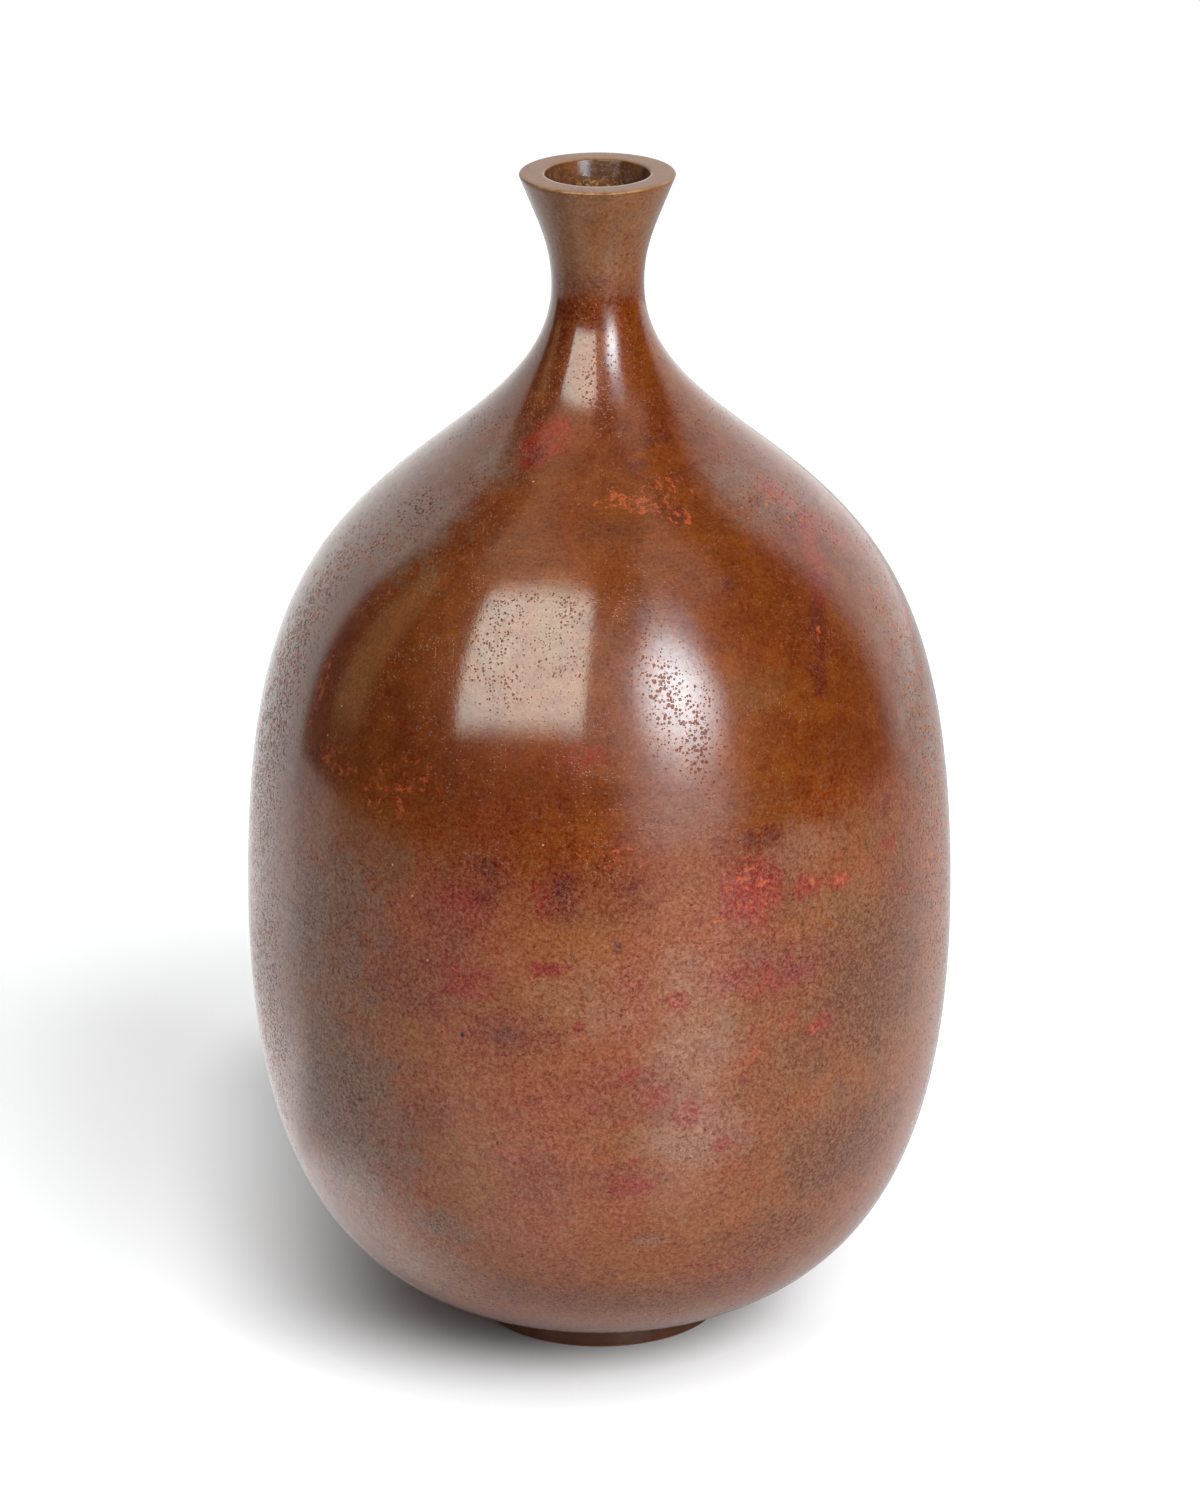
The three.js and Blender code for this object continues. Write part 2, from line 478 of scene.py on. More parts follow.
angles = np.arange(TABLE_STEPS) * 2 * math.pi / TABLE_STEPS
rim = np.column_stack([TABLE_RADIUS * np.cos(angles), TABLE_RADIUS * np.sin(angles), 0 * angles])
mesh = bpy.data.meshes.new("table")
mesh.from_pydata(rim, [], [list(range(TABLE_STEPS))])
table = bpy.data.objects.new("table", mesh)
table.data.materials.append(shaded_paint)
bpy.context.scene.collection.objects.link(table)
print("table", 2 * TABLE_RADIUS, "m across")

# %% [markdown]
# ## Two softboxes and two plain lights
# A large softbox hangs front left and a cooler one front right. Both show in the polish as clear
# shapes: the left one as a pale rectangle with crisp sides, the right one as a small oval that
# melts away at its rim. Where a lamp hangs was worked out from where its mirror image lies on the
# belly and again on the neck. The polish mirrors so little that these two must
# be bright, and then they would flood the rest. So they are only mirrored, and two plain lights
# that aren't mirrored light the vase and throw its shadow. Blender spreads a lamp's power over
# its area, so the recipe turns a wanted brightness back into watts.

# %% Hang the lamps
def lamp_power(brightness, width, height):
    """Watts for a lamp of this size that looks this bright."""
    return brightness * width * height * math.pi


def hang(name, centre, across, down, width, height, brightness, tint):
    """A rectangular lamp that faces the vase, with its rim along two given directions."""
    lamp = bpy.data.lights.new(name, "AREA")
    lamp.shape = "RECTANGLE"
    lamp.size, lamp.size_y = width, height
    lamp.energy = lamp_power(brightness, width, height)
    lamp.color = tint
    across = Vector(across).normalized()
    up = -(Vector(down) - across * across.dot(Vector(down))).normalized()
    towards_vase = up.cross(across)
    hung = bpy.data.objects.new(name, lamp)
    turn = Matrix((across, up, -towards_vase)).transposed().to_4x4()
    hung.matrix_world = Matrix.Translation(centre) @ turn
    hung.visible_camera = False
    bpy.context.scene.collection.objects.link(hung)
    return hung


def fade_to_rim(hung, full_until, heart):
    """Lets a lamp glow from its heart, a share of its height up, to nothing at its rim."""
    hung.data.use_nodes = True
    tree = hung.data.node_tree
    across, rise, _ = coordinates(tree, node(tree, "NewGeometry", {}, output="Parametric"))
    aside = scaled(tree, across, 2.0, -1.0)
    above = scaled(tree, rise, 1 / (1 - heart), -heart / (1 - heart))
    upright = largest(tree, above, scaled(tree, rise, -1 / heart, 1.0))
    both = maths(tree, "ADD", maths(tree, "POWER", aside, 2.0), maths(tree, "POWER", upright, 2.0))
    glow = ramp(tree, maths(tree, "SQRT", both), full_until, 1.0, 1.0, 0.0)
    tree.links.new(glow, tree.nodes["Emission"].inputs["Strength"])


def fade_to_ends(hung, bottom_share, top_share):
    """Lets a lamp glow less towards its bottom and its top, where its tubes end."""
    hung.data.use_nodes = True
    tree = hung.data.node_tree
    _, rise, _ = coordinates(tree, node(tree, "NewGeometry", {}, output="Parametric"))
    bottom = ramp(tree, rise, 0.0, bottom_share)
    top = ramp(tree, rise, 1.0, 1.0 - top_share)
    tree.links.new(product(tree, bottom, top), tree.nodes["Emission"].inputs["Strength"])


print("a lamp 1 m square that looks 1 bright takes", round(lamp_power(1, 1, 1), 2), "W")

# %% Hang two softboxes that only the polish sees
DOWN = (0, 0, -1)
GREENISH_WHITE = (0.94, 1, 0.9)
COOL_WHITE = (0.72, 0.92, 1)

left_box = hang("left_softbox", centre=(-0.437, -0.634, 0.94), across=(0.953, -0.295, 0.067),
                down=(-0.063, -0.41, -0.91), width=0.79, height=1.15, brightness=7.5, tint=GREENISH_WHITE)
right_box = hang("right_softbox", centre=(0.505, -0.88, 0.9), across=(0.857, 0.515, 0),
                 down=DOWN, width=0.74, height=1.42, brightness=18.0, tint=COOL_WHITE)
fade_to_ends(left_box, bottom_share=0.15, top_share=0.22)
fade_to_rim(right_box, full_until=0.05, heart=0.38)
for softbox in (left_box, right_box):
    softbox.visible_diffuse = False
    print(softbox.name, "power", round(softbox.data.energy, 1))

# %% Hang two plain lights that the polish doesn't see
PLAIN_WHITE = (1, 1, 1)

key = hang("key_light", centre=(0.66, -0.95, 0.97), across=(0.82, 0.57, 0),
           down=DOWN, width=1.1, height=1.1, brightness=9.4, tint=PLAIN_WHITE)
fill = hang("fill_light", centre=(-0.5, -0.9, 1.1), across=(0.87, -0.48, 0),
            down=DOWN, width=1.2, height=1.2, brightness=0.45, tint=PLAIN_WHITE)
for plain_light in (key, fill):
    plain_light.visible_glossy = False
    print(plain_light.name, "power", round(plain_light.data.energy, 1))

# %% [markdown]
# ## The room
# A polished vase is mostly a picture of its room. In front, behind the camera, the room is nearly
# black at the left and dark brown at the right. Behind the vase a pale backdrop runs round both
# sides, which gives the pale rims of the belly. A narrow brown panel at the left shows as a dim
# upright band, white cloths hang round the right softbox, and the ceiling is a dull brown. Plain
# light gets only a little from all this, and the camera itself sees white.

# %% Paint the room
DARK_LEFT = (0.012, 0.009, 0.007, 1)
DARK_RIGHT = (0.1, 0.05, 0.02, 1)
CEILING = (0.45, 0.33, 0.22, 1)
LEFT_BACKDROP = (1.25, 1.22, 1.18, 1)
RIGHT_BACKDROP = (1.25, 1.22, 1.2, 1)
PLAIN_GLOW = (0.1, 0.1, 0.1, 1)

# From which side to which the room turns from dark to brown, as shares of straight right,
# and between which angles the ceiling and the backdrop set in, in degrees
DARK_TO_BROWN = (-0.3, 0.8)
CEILING_FROM = (70, 80)
LEFT_BACKDROP_FROM = (-115, -121)
RIGHT_BACKDROP_FROM = (108, 124)

# Each panel's span round the vase and span upwards, with the softness of its edges, in degrees
PANELS = (
    ((-10, 18, 6), (12, 60, 8), (0.75, 0.7, 0.6, 1)),
    ((-104, -90, 3), (2, 45, 6), (1.0, 0.6, 0.25, 1)),
    ((-95, -12, 5), (56, 82, 6), (1.2, 0.9, 0.6, 1)),
    ((38, 85, 6), (52, 76, 6), (1.2, 0.9, 0.7, 1)),
    ((12, 44, 11), (-6, 44, 8), (2.1, 2.35, 2.6, 1)),
    ((24, 50, 8), (44, 60, 8), (2.9, 3.5, 3.9, 1)),
)


def room():
    """Brightness and colour of the room by direction, as a mirror and as plain light see it."""
    world = bpy.data.worlds.new("room")
    bpy.context.scene.world = world
    world.use_nodes = True
    tree = world.node_tree
    right, away, up = coordinates(tree, node(tree, "TexCoord", {}, output="Generated"))
    turned_by = maths(tree, "ARCTAN2", right, product(tree, away, -1.0))
    rise = maths(tree, "ARCSINE", up)

    def past(value, start, end):
        """A rise from 0 to 1 between two angles in degrees."""
        return ramp(tree, value, math.radians(start), math.radians(end))

    def window(value, low, high, soft):
        """1 between two angles in degrees, with soft edges."""
        return product(tree, past(value, low - soft, low + soft), past(value, high + soft, high - soft))

    seen = blend(tree, ramp(tree, right, *DARK_TO_BROWN), DARK_LEFT, DARK_RIGHT)
    for sideways, upwards, tint in PANELS:
        lit = product(tree, window(turned_by, *sideways), window(rise, *upwards))
        seen = blend(tree, lit, seen, tint)
    seen = blend(tree, past(rise, *CEILING_FROM), seen, CEILING)
    seen = blend(tree, past(turned_by, *LEFT_BACKDROP_FROM), seen, LEFT_BACKDROP)
    seen = blend(tree, past(turned_by, *RIGHT_BACKDROP_FROM), seen, RIGHT_BACKDROP)
    path = tree.nodes.new("ShaderNodeLightPath")
    seen = blend(tree, path.outputs["Is Diffuse Ray"], seen, PLAIN_GLOW)
    seen = blend(tree, path.outputs["Is Camera Ray"], seen, WHITE)
    tree.links.new(seen, tree.nodes["Background"].inputs["Color"])
    return world


print("room:", room().name)

# %% [markdown]
# ## The casting
# Belly, shoulder, neck and lip are one casting. Bronze was poured round a core, then the outside
# was turned and polished and the inside was left as it came out of the mould. Long soft
# reflections run over the outside, so its rows lie close together. Inside, little shows and
# wide rows will do.

# %% Spin the casting
BODY_STEPS = 300
OUTER_SPACING = 0.0015
INNER_SPACING = 0.004
EDGE_ROUND = 0.0002

outline, closed = section_of("body_shell")
body_outline, body_runs = faired(outline, closed, [OUTER_SPACING] * 4 + [INNER_SPACING], EDGE_ROUND)
body = turned("cast_body", body_outline, closed, BODY_STEPS)
print("body:", len(body.data.vertices), "points, rows in each run:", np.bincount(body_runs))

# %% [markdown]
# ## A hand-polished skin
# The outside was finished by hand on a belt, and that leaves it very slightly uneven. Nobody sees
# a dip of a few hundredths of a millimetre, but the edges of the reflections waver over it, which
# tells polished metal from plastic. The skin is only ever pressed inwards, so the vase stays
# inside its CAD size, and at the foot and the lip it keeps its exact edges.

# %% Press shallow waves into the outside
POLISH_DEPTH = 0.00004
LEAST_POLISH = 0.1
EDGE_KEPT = 0.012

# Waves round the vase, their climb along the outline, their start and their share
POLISH_WAVES = ((5, 75, 1.3, 0.25), (9, -130, 0.7, 0.15), (14, 210, 0.0, 0.1))

outer_rows = np.flatnonzero(body_runs == 0)
skin_outline = body_outline[outer_rows]
skin_slopes = np.gradient(skin_outline, axis=0)
skin_slopes /= np.linalg.norm(skin_slopes, axis=1)[:, None]
azimuths = np.arange(BODY_STEPS) * 2 * math.pi / BODY_STEPS
climb = np.concatenate([[0], np.cumsum(np.linalg.norm(np.diff(skin_outline, axis=0), axis=1))])
from_edge = np.clip(np.minimum(climb, climb[-1] - climb) / EDGE_KEPT, 0, 1)[:, None]


def polish_waves(turn, along):
    """Uneven polish, from 0 to 1, for an angle round the vase and a way along its outline."""
    height = 0.5
    for around, climbing, start, share in POLISH_WAVES:
        height = height + share * np.sin(around * turn + climbing * along + start)
    return height


places = np.array([vertex.co for vertex in body.data.vertices]).reshape(len(body_outline), BODY_STEPS, 3)
skin = places[outer_rows]
waves = polish_waves(azimuths[None, :], climb[:, None])
depth = POLISH_DEPTH * from_edge * (LEAST_POLISH + (1 - LEAST_POLISH) * waves)
outwards = skin[:, :, :2] / np.linalg.norm(skin[:, :, :2], axis=2)[:, :, None]
skin[:, :, :2] -= (depth * skin_slopes[:, 1:])[:, :, None] * outwards
skin[:, :, 2] += depth * skin_slopes[:, :1]
places[outer_rows] = skin
body.data.vertices.foreach_set("co", places.ravel())
body.data.update()
print("polish waves up to", round(1000 * float(depth.max()), 3), "mm deep")

# %% [markdown]
# ## Stains one by one
# The patina was brushed on hot, and it pooled. Such stains have places of their own, which noise
# alone can't give, so each is laid on the skin as an oval by its angle round the vase, its height
# and its size in millimetres. Angle 0 faces the camera and grows to the right. The ovals are soft
# here. Noise in the finish breaks up their edges later. Each kind of stain is one layer of
# values, from 0 to 1, that the mesh carries along. Two more layers say where the wax is pitted,
# finely or coarsely.

# %% A brush for soft ovals and streaks
LAYERS = ("blush", "crimson", "ember", "plum", "haze", "olive", "pale_and_sheen", "umber", "pitted", "coarse")
STAIN_SOFTNESS = 1.1
STREAK_SOFTNESS = 0.8
FULL_UNTIL = 1.6
OUT_OF_REACH = 9

layers = {name: np.zeros(skin.shape[:2]) for name in LAYERS}


def spot_on_skin(azimuth, height):
    """A point of the skin, with the ways right and up along it, from degrees and millimetres."""
    turn = FRONT + math.radians(azimuth)
    height /= 1000
    radius = np.interp(height, skin_outline[:, 1], skin_outline[:, 0])
    slope = [np.interp(height, skin_outline[:, 1], skin_slopes[:, axis]) for axis in (0, 1)]
    outward = np.array([math.cos(turn), math.sin(turn), 0])
    rightward = np.array([-math.sin(turn), math.cos(turn), 0])
    upward = slope[0] * outward + slope[1] * np.array([0, 0, 1])
    return radius * outward + np.array([0, 0, height]), rightward, upward


def stain(layer, azimuth, height, wide, tall, tilt, strength):
    """Lays one soft oval on a layer. Tilt turns it to the left, in degrees."""
    centre, rightward, upward = spot_on_skin(azimuth, height)
    tilt = math.radians(tilt)
    long_way = math.cos(tilt) * rightward + math.sin(tilt) * upward
    short_way = math.cos(tilt) * upward - math.sin(tilt) * rightward
    reach = skin - centre
    away = np.hypot(reach @ long_way / (wide / 2000), reach @ short_way / (tall / 2000))
    away[np.linalg.norm(reach, axis=2) > max(wide, tall) / 1000] = OUT_OF_REACH
    amount = strength * np.clip(FULL_UNTIL - STAIN_SOFTNESS * away, 0, 1)
    layers[layer] = np.maximum(layers[layer], amount)


def streak(layer, stops, wide, strength=1.0):
    """Lays a soft line through (angle, height) stops on a layer."""
    ends = [spot_on_skin(*stop)[0] for stop in stops]
    for start, end in zip(ends, ends[1:]):
        along = end - start
        share = np.clip((skin - start) @ along / (along @ along), 0, 1)
        away = np.linalg.norm(skin - start - share[:, :, None] * along, axis=2) / (wide / 2000)
        amount = strength * np.clip(FULL_UNTIL - STREAK_SOFTNESS * away, 0, 1)
        layers[layer] = np.maximum(layers[layer], amount)


def lay_stains(stains):
    """Lays rows of (angle, height, wide, tall, tilt, strength) on the layers they are listed under."""
    for layer, rows in stains.items():
        for row in rows:
            stain(layer, *row)
        print(layer, "takes", len(rows), "stains")


print("skin of", skin.shape[0], "rows by", skin.shape[1], "steps takes", len(LAYERS), "layers")

# %% Red stains
RED_STAINS = {
    "blush": (
        (-18.5, 134, 13, 32, -8, 1), (-24, 122, 14, 18, 0, 1), (-28, 108, 28, 18, 0, 1),
        (-14, 98, 26, 12, 0, 0.8), (-29, 75, 13, 14, 0, 0.7), (-6, 130, 10, 13, 0, 0.9),
        (31, 110, 34, 13, 0, 1), (26, 131, 22, 22, 0, 0.7), (5, 84, 26, 14, 0, 0.8),
        (3, 62, 22, 10, 0, 0.6), (-10, 62, 14, 12, 0, 0.8), (52, 196, 16, 12, 0, 0.6),
        (-8, 160, 22, 7, 0, 0.6),
    ),
    "crimson": (
        (-27, 215, 14, 9.5, 75, 1), (25, 128, 14, 15, 0, 1), (35, 127, 7, 5, 0, 1),
        (42, 126, 6, 4, 0, 1), (37, 94, 8, 3.5, 10, 1), (5, 89, 5, 4, 0, 1), (9, 83, 7, 6, 0, 1),
        (14, 78, 7, 6, 0, 1), (12, 105, 6, 5, 0, 0.7), (5, 61, 9, 6, 0, 1), (-22, 126, 12, 9, 0, 0.65),
        (-21, 109, 14, 10, 0, 0.65), (-8, 113, 12, 4, 0, 0.8), (-9, 130, 6, 8, 0, 0.6),
        (31, 107, 14, 4, 12, 0.8), (26, 108, 24, 9, 0, 0.5), (54, 130, 7, 4, 0, 0.6),
        (-2, 160, 12, 6, 0, 0.5), (-3, 100, 3, 3, 0, 0.9), (-2, 81, 7, 3, 0, 0.7),
        (5, 108, 5, 6, 0, 0.7), (20, 70, 4, 4, 0, 1), (58, 118, 4, 5, 0, 0.8),
    ),
    "plum": (
        (-28, 213, 8, 7, 0, 0.6),
    ),
}

lay_stains(RED_STAINS)
streak("crimson", [(62, 204), (69, 199), (75, 190)], 5, strength=0.7)
streak("crimson", [(66, 196), (58, 190), (52, 184)], 4, strength=0.8)

# %% Plum stains
PLUM_STAINS = {
    "plum": (
        (-18, 133, 9, 18, 0, 0.6), (3, 119, 3.5, 4.5, 0, 0.9), (-16, 98, 13, 6, 0, 0.7),
        (-6, 131, 7, 9, 0, 0.8), (27.5, 140, 11, 6, 0, 1), (24, 133, 9, 4, 0, 0.7),
        (25, 203, 5, 5, 0, 1), (13.5, 218.5, 5, 3, 0, 1), (31, 216, 9, 3, 0, 1),
        (14, 212, 6, 3, 0, 0.8), (32, 108, 10, 3, 15, 0.7), (55, 138, 8, 6, 0, 0.7),
        (40, 196, 14, 4, -25, 0.6), (30, 190, 5, 5, 0, 0.6), (3, 163, 9, 3, 0, 0.5),
        (5, 60, 5, 3, 0, 0.6),
    ),
}

lay_stains(PLUM_STAINS)
streak("plum", [(55, 187), (50, 182), (46, 176), (43, 168)], 4, strength=0.9)

# %% Ember-orange specks
EMBER_SPECKS = {
    "ember": (
        (6.5, 208, 5, 3, 0, 1), (9, 206, 4, 3, 0, 1), (13, 204.5, 8, 3, -20, 1),
        (25, 203, 8, 6, 0, 0.8), (3, 214, 3, 4, 0, 0.7), (12, 206, 22, 5, -8, 0.9),
        (24, 208, 12, 6, 0, 0.8), (25, 129, 15, 15, 0, 0.75), (36, 128, 4, 3, 0, 1),
        (42, 126, 8, 4, 0, 0.9), (18.6, 123, 4, 2, 0, 1), (25, 90, 3, 3, 0, 1), (19, 88, 4, 2.5, 0, 1),
        (37, 94, 8, 3, 0, 0.8), (12, 105, 4, 2, 0, 1), (-3, 98, 3, 3, 0, 1), (-21, 109, 10, 8, 0, 0.6),
        (-4, 128, 8, 6, 0, 0.6), (-35, 152, 20, 13, 0, 0.65), (-49, 186, 4, 4, 0, 0.8),
        (-58, 164, 4, 22, 0, 0.9), (-47, 149, 10, 5, 0, 0.9), (-37, 146, 16, 9, 0, 0.8),
        (-52, 151, 9, 7, 0, 0.8), (1, 139, 22, 7, 0, 0.55), (56, 128, 5, 6, 0, 0.7),
    ),
}

lay_stains(EMBER_SPECKS)
streak("ember", [(48, 180), (46.5, 174)], 1.5, strength=0.7)

# %% Breaths of oxide and dark clouds
OXIDE_BREATHS = {
    "haze": (
        (-48, 110, 34, 44, 0, 0.8), (-46, 72, 36, 44, 0, 1), (-27, 46, 18, 9, 0, 0.9),
        (-56, 196, 34, 22, 0, 0.7), (-40, 212, 16, 16, 0, 0.6), (60, 203, 26, 18, 0, 0.6),
        (8, 46, 12, 5, 0, 0.5), (72, 150, 22, 70, 0, 0.5), (54, 206, 22, 14, 0, 0.6),
        (-20, 184, 9, 20, 0, 0.5),
    ),
    "olive": (
        (45, 115, 22, 22, 0, 0.9), (-36, 132, 12, 14, 0, 0.6), (30, 170, 20, 12, 0, 0.4),
        (32, 83, 22, 12, 0, 0.8), (55, 88, 26, 30, 0, 0.6), (50, 104, 44, 56, 0, 0.8),
        (29, 100, 26, 90, 0, 0.6), (44, 66, 44, 30, 0, 0.8), (-9, 184, 9, 22, 0, 0.9),
        (-64, 186, 10, 40, 0, 0.6),
    ),
    # The pale clouds are grey-violet patina, and below the right softbox's mirror image they also paint
    # that lamp's reflection in the glossy table, a painted reflection
    "pale_and_sheen": (
        (16, 110, 20, 16, 0, 0.7), (15, 92, 20, 18, 0, 1), (16, 72, 24, 14, 0, 1),
        (0, 106, 26, 18, 0, 0.5), (34, 136, 22, 12, 0, 0.6),
    ),
    "umber": (
        (9, 190, 8, 22, 0, 0.6), (-20, 198, 14, 14, 0, 0.6), (20, 205, 12, 9, 0, 0.5),
        (2, 179, 12, 24, 0, 0.8), (5, 201, 16, 9, 0, 0.6), (-1, 130, 26, 14, 0, 0.7),
        (45, 97, 34, 30, 0, 0.8), (58, 106, 20, 40, 0, 0.8), (47, 58, 34, 22, 0, 1),
        (34, 42, 30, 14, 0, 0.8), (5, 27, 90, 12, 0, 0.8), (33, 124, 12, 10, 0, 0.7),
    ),
}

lay_stains(OXIDE_BREATHS)

# %% Where the wax is pitted
PITTED_WAX = {
    "pitted": (
        (-6, 188, 5, 8, 0, 0.9), (-9, 180, 12, 16, 0, 0.5), (-21, 180, 8, 14, 0, 0.5),
        (12, 172, 9, 16, 0, 1), (17, 164, 8, 20, 0, 1), (2, 226, 8, 22, 0, 0.8),
        (-60, 200, 16, 14, 0, 0.8), (-45, 206, 8, 10, 0, 0.8), (-74, 150, 24, 90, 0, 0.9),
        (-70, 90, 24, 60, 0, 0.85), (72, 120, 22, 100, 0, 0.8), (62, 200, 22, 20, 0, 0.5),
        (-15, 184, 26, 26, 0, 0.38), (-40, 223, 8, 26, 0, 0.5), (30, 225, 8, 26, 0, 0.5),
    ),
    "coarse": (
        (-75, 150, 24, 110, 0, 1), (-71, 85, 22, 60, 0, 1), (74, 140, 22, 120, 0, 0.85),
        (-62, 194, 26, 24, 0, 0.55), (60, 200, 24, 22, 0, 0.6),
    ),
}

lay_stains(PITTED_WAX)

# %% [markdown]
# The far side isn't in the picture. Its stains continue in the same manner, from a seeded
# random generator, so that the vase looks like itself from behind.

# %% Stains round the back
BACK_SEED = 7
BACK_STAINS = (("crimson", 26), ("plum", 22), ("ember", 36), ("pitted", 18))
BACK_CLOUDS = (("blush", 20), ("haze", 12), ("olive", 10), ("pale_and_sheen", 10), ("umber", 10), ("coarse", 8))
CLOUD_SIZE = 2.5
SHOWS_FROM = 0.3

# The span that each measure of a stain is drawn from
BACK_ANGLES = (82, 278)
BACK_HEIGHTS = (30, 215)
STAIN_WIDTHS = (4, 14)
STAIN_SHAPES = (0.4, 1.1)
STAIN_TILTS = (-30, 30)
STAIN_STRENGTHS = (0.4, 1.0)

chance = np.random.default_rng(BACK_SEED)
for layer, count in BACK_STAINS + BACK_CLOUDS:
    broad = CLOUD_SIZE if (layer, count) in BACK_CLOUDS else 1.0
    for _ in range(count):
        azimuth = chance.uniform(*BACK_ANGLES)
        height = chance.uniform(*BACK_HEIGHTS)
        wide = broad * chance.uniform(*STAIN_WIDTHS)
        tall = wide * chance.uniform(*STAIN_SHAPES)
        tilt = chance.uniform(*STAIN_TILTS)
        stain(layer, azimuth, height, wide, tall, tilt, chance.uniform(*STAIN_STRENGTHS))


def carry(name, amounts):
    """Writes one value for each point of the skin into the mesh, under a name."""
    carried = body.data.attributes.new(name, "FLOAT", "POINT")
    values = np.zeros((len(body_outline), BODY_STEPS))
    values[outer_rows] = amounts
    carried.data.foreach_set("value", values.ravel())


for name, amounts in layers.items():
    carry(name, amounts)
    print(name, "covers", round(100 * float((amounts > SHOWS_FROM).mean()), 1), "% of the skin")

# %% [markdown]
# One more layer says which rows are on the inside. It starts right at the lower edge of the
# bore's chamfer, so that the rough brown of the bore doesn't run out over the lip.

# %% Mark the inside
INSIDE_FROM_RUN = 4
CHAMFER_EDGE = 0.0118

at_edge = (body_runs == INSIDE_FROM_RUN - 1) & (body_outline[:, 0] < CHAMFER_EDGE)
inside_rows = (body_runs >= INSIDE_FROM_RUN) | at_edge
carried = body.data.attributes.new("inside", "FLOAT", "POINT")
carried.data.foreach_set("value", np.repeat(inside_rows.astype(float), BODY_STEPS))
print("inside rows:", int(inside_rows.sum()), "of which at the chamfer:", int(at_edge.sum()))

# %% [markdown]
# ## The patinated skin
# The finish has a bronze-brown ground under a clear wax. The wax is the shader's coat: it mirrors
# the room sharply and without colour. The ground under it is satin and gives back the light in
# warm brown. It changes over the vase: glossy and even on the neck and the shoulder, and on the
# lower belly lighter, greyer and full of fine worm-shaped grain. One could paint all this as a
# picture and wrap it round the vase, but noise in space has no seam and stays sharp close up.

# %% Read a layer and break up its edge
STAIN_ENDS = (0.0, 0.3)


def layer_of(tree, name):
    """One of the layers that the mesh carries."""
    return node(tree, "Attribute", {}, output="Fac", attribute_name=name, attribute_type="GEOMETRY")


def broken(tree, amount, breaker, reach, hardness, level):
    """A soft stain with its edge broken up by noise. It grows or shrinks by reach."""
    uneven = scaled(tree, breaker, reach, -reach / 2)
    both = maths(tree, "ADD", amount, uneven)
    inside = ramp(tree, both, level - hardness / 2, level + hardness / 2)
    return product(tree, inside, ramp(tree, amount, *STAIN_ENDS))


print("a stain ends where its layer falls under", STAIN_ENDS[1])

# %% Mix the ground and lay the stains on it
FLARE = (0.240, 0.256)
CLOUDS = (0.35, 0.65)
PALER_MOTTLE = (0.42, 0.75, 0.0, 0.4)
DARKER_MOTTLE = (0.5, 0.25, 0.0, 0.35)

# Each layer's noise, how far that moves its edge, the edge's softness, where the stain sets in,
# its strength and its colour
STAIN_RECIPE = (
    ("haze", "drift", 3.0, 1.0, 0.5, 0.7, (106, 80, 66)),
    ("olive", "drift", 3.0, 1.2, 0.5, 0.6, (100, 66, 36)),
    # The pale clouds are partly a painted reflection of the right softbox in the table
    ("pale_and_sheen", "drift", 2.4, 1.8, 0.5, 0.5, (134, 96, 78)),
    ("umber", "drift", 1.0, 1.6, 0.5, 0.4, (66, 32, 16)),
    ("blush", "drift", 2.0, 1.6, 0.5, 0.55, (104, 42, 25)),
    ("crimson", "torn", 3.0, 0.9, 0.55, 0.75, (124, 36, 18)),
    ("plum", "torn", 3.2, 0.9, 0.7, 0.6, (72, 26, 22)),
    ("ember", "flecks", 4.6, 0.6, 1.05, 0.65, (174, 82, 48)),
)


def patina_colour(tree, place, height, low):
    """The ground's colour with its mottling and stains."""
    clouds = ramp(tree, noise(tree, place, size=26, detail=3), *CLOUDS)
    mottle = noise(tree, place, size=5, detail=4, roughness=0.6)
    edges = {
        "drift": noise(tree, place, size=9, detail=6, roughness=0.7),
        "torn": noise(tree, place, size=4, detail=7, roughness=0.72),
        "flecks": noise(tree, place, size=1.7, detail=4, roughness=0.7, distortion=0.4),
    }
    dome = blend(tree, clouds, colour(92, 38, 6), colour(102, 48, 7))
    belly = blend(tree, clouds, colour(128, 61, 22), colour(128, 71, 25))
    ground = blend(tree, low, dome, belly)
    ground = blend(tree, ramp(tree, height, *FLARE), ground, colour(110, 64, 18))
    ground = blend(tree, ramp(tree, mottle, *PALER_MOTTLE), ground, colour(128, 66, 18))
    ground = blend(tree, ramp(tree, mottle, *DARKER_MOTTLE), ground, colour(78, 38, 14))
    for name, edge, reach, hardness, level, strength, tint in STAIN_RECIPE:
        share = broken(tree, layer_of(tree, name), edges[edge], reach, hardness, level)
        ground = blend(tree, product(tree, share, strength), ground, colour(*tint))
    return ground


print("the ground takes", len(STAIN_RECIPE), "kinds of stain")

# %% [markdown]
# Where the liquid of the patina dried last it left thin tide lines, and knocks left a few nicks, dark ones
# with dirt in them and pale ones down to fresh metal, painted light enough to stand for the glints such
# dents catch, a painted highlight. They are so few that each place is listed, and the tide lines wander a
# little on their way.

# %% Draw the tide lines and nicks
TIDE_LINES = (
    ((-29, 52), (-28, 58), (-25, 62), (-19, 67), (-14.5, 69.5),
     (-9, 70), (-3, 68.5), (1, 67), (6, 67), (12, 66)),
    ((-4, 56), (-1, 58.5), (2, 60)),
    ((2, 75), (5, 77), (9, 76)),
)
TIDE_WIDTH = 1.3
TIDE_STRENGTH = 0.45
TIDE_WANDER = 0.006
WANDERS_PER_METRE = 220.0
